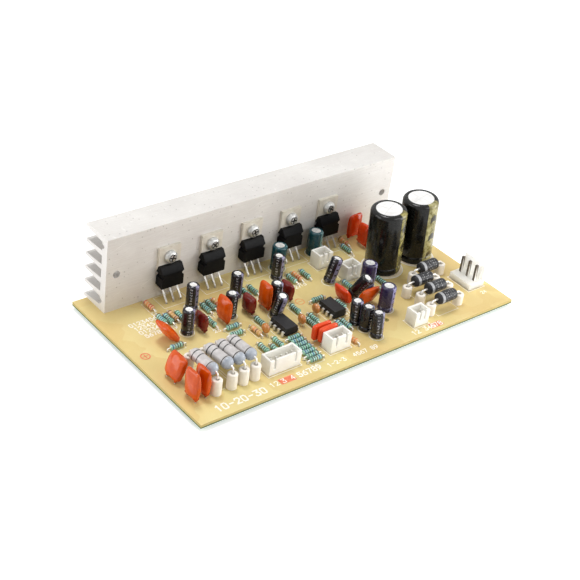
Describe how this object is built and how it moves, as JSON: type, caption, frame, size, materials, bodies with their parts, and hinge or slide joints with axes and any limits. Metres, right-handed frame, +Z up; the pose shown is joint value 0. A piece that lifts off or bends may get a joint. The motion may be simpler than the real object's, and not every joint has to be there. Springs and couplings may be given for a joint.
{
  "type": "audio amplifier board",
  "caption": "Through-hole audio amplifier board with power chips on a finned aluminium heatsink, filter capacitors and plug-in connectors.",
  "frame": {"origin": "middle of the board in plan, at the height of the lowest trimmed lead", "axes": "+X along the connector edge, +Y towards the heatsink, +Z up"},
  "size_m": [0.16, 0.0882, 0.036],
  "materials": {
    "board": "satin",
    "heatsink": "dull extruded",
    "screw": "bright plated",
    "chip_black": "moulded matt",
    "sleeve_black": "glossy sleeve",
    "sleeve_violet": "glossy sleeve",
    "sleeve_teal": "glossy sleeve",
    "film_orange": "dipped gloss",
    "film_red": "dipped gloss",
    "disc_ochre": "dipped satin",
    "resistor_grey": "coated satin",
    "diode_black": "moulded satin",
    "bead": "bare ceramic",
    "resistor_teal": "coated gloss",
    "resistor_tan": "coated gloss",
    "connector_white": "moulded satin",
    "connector_clear": "moulded satin"
  },
  "bodies": {
    "root": {"circuit_board": "board", "heatsink": "heatsink", "tab_screws": "screw", "power_chip_1": "chip_black", "power_chip_2": "chip_black", "power_chip_3": "chip_black", "power_chip_4": "chip_black", "power_chip_5": "chip_black", "filter_capacitor_1": "sleeve_black", "filter_capacitor_2": "sleeve_black", "signal_capacitor_1": "sleeve_black", "signal_capacitor_2": "sleeve_black", "signal_capacitor_3": "sleeve_black", "signal_capacitor_4": "sleeve_black", "signal_capacitor_5": "sleeve_black", "signal_capacitor_6": "sleeve_black", "signal_capacitor_7": "sleeve_black", "signal_capacitor_8": "sleeve_black", "signal_capacitor_9": "sleeve_black", "signal_capacitor_10": "sleeve_black", "signal_capacitor_11": "sleeve_black", "signal_capacitor_12": "sleeve_black", "coupling_capacitor_1": "sleeve_violet", "coupling_capacitor_2": "sleeve_violet", "coupling_capacitor_3": "sleeve_teal", "coupling_capacitor_4": "sleeve_teal", "film_capacitor_1": "film_orange", "film_capacitor_2": "film_orange", "film_capacitor_3": "film_orange", "film_capacitor_4": "film_orange", "film_capacitor_5": "film_red", "film_capacitor_6": "film_orange", "film_capacitor_7": "film_red", "film_capacitor_8": "film_orange", "film_capacitor_9": "film_red", "film_capacitor_10": "film_red", "film_capacitor_11": "film_orange", "film_capacitor_12": "film_orange", "film_capacitor_13": "film_orange", "slim_capacitors": "film_orange", "ceramic_discs": "disc_ochre", "power_resistor_1": "resistor_grey", "power_resistor_2": "resistor_grey", "power_resistor_3": "resistor_grey", "power_resistor_4": "resistor_grey", "rectifier_1": "diode_black", "rectifier_2": "diode_black", "rectifier_3": "diode_black", "rectifier_4": "diode_black", "spacer_beads": "bead", "metal_film_resistors": "resistor_teal", "carbon_resistors": "resistor_tan", "preamp_chip_1": "chip_black", "preamp_chip_2": "chip_black", "speaker_connector": "connector_white", "audio_connector": "connector_white", "fan_connector": "connector_white", "aux_connector_1": "connector_white", "aux_connector_2": "connector_white", "supply_connector": "connector_clear"}
  },
  "joints": []
}
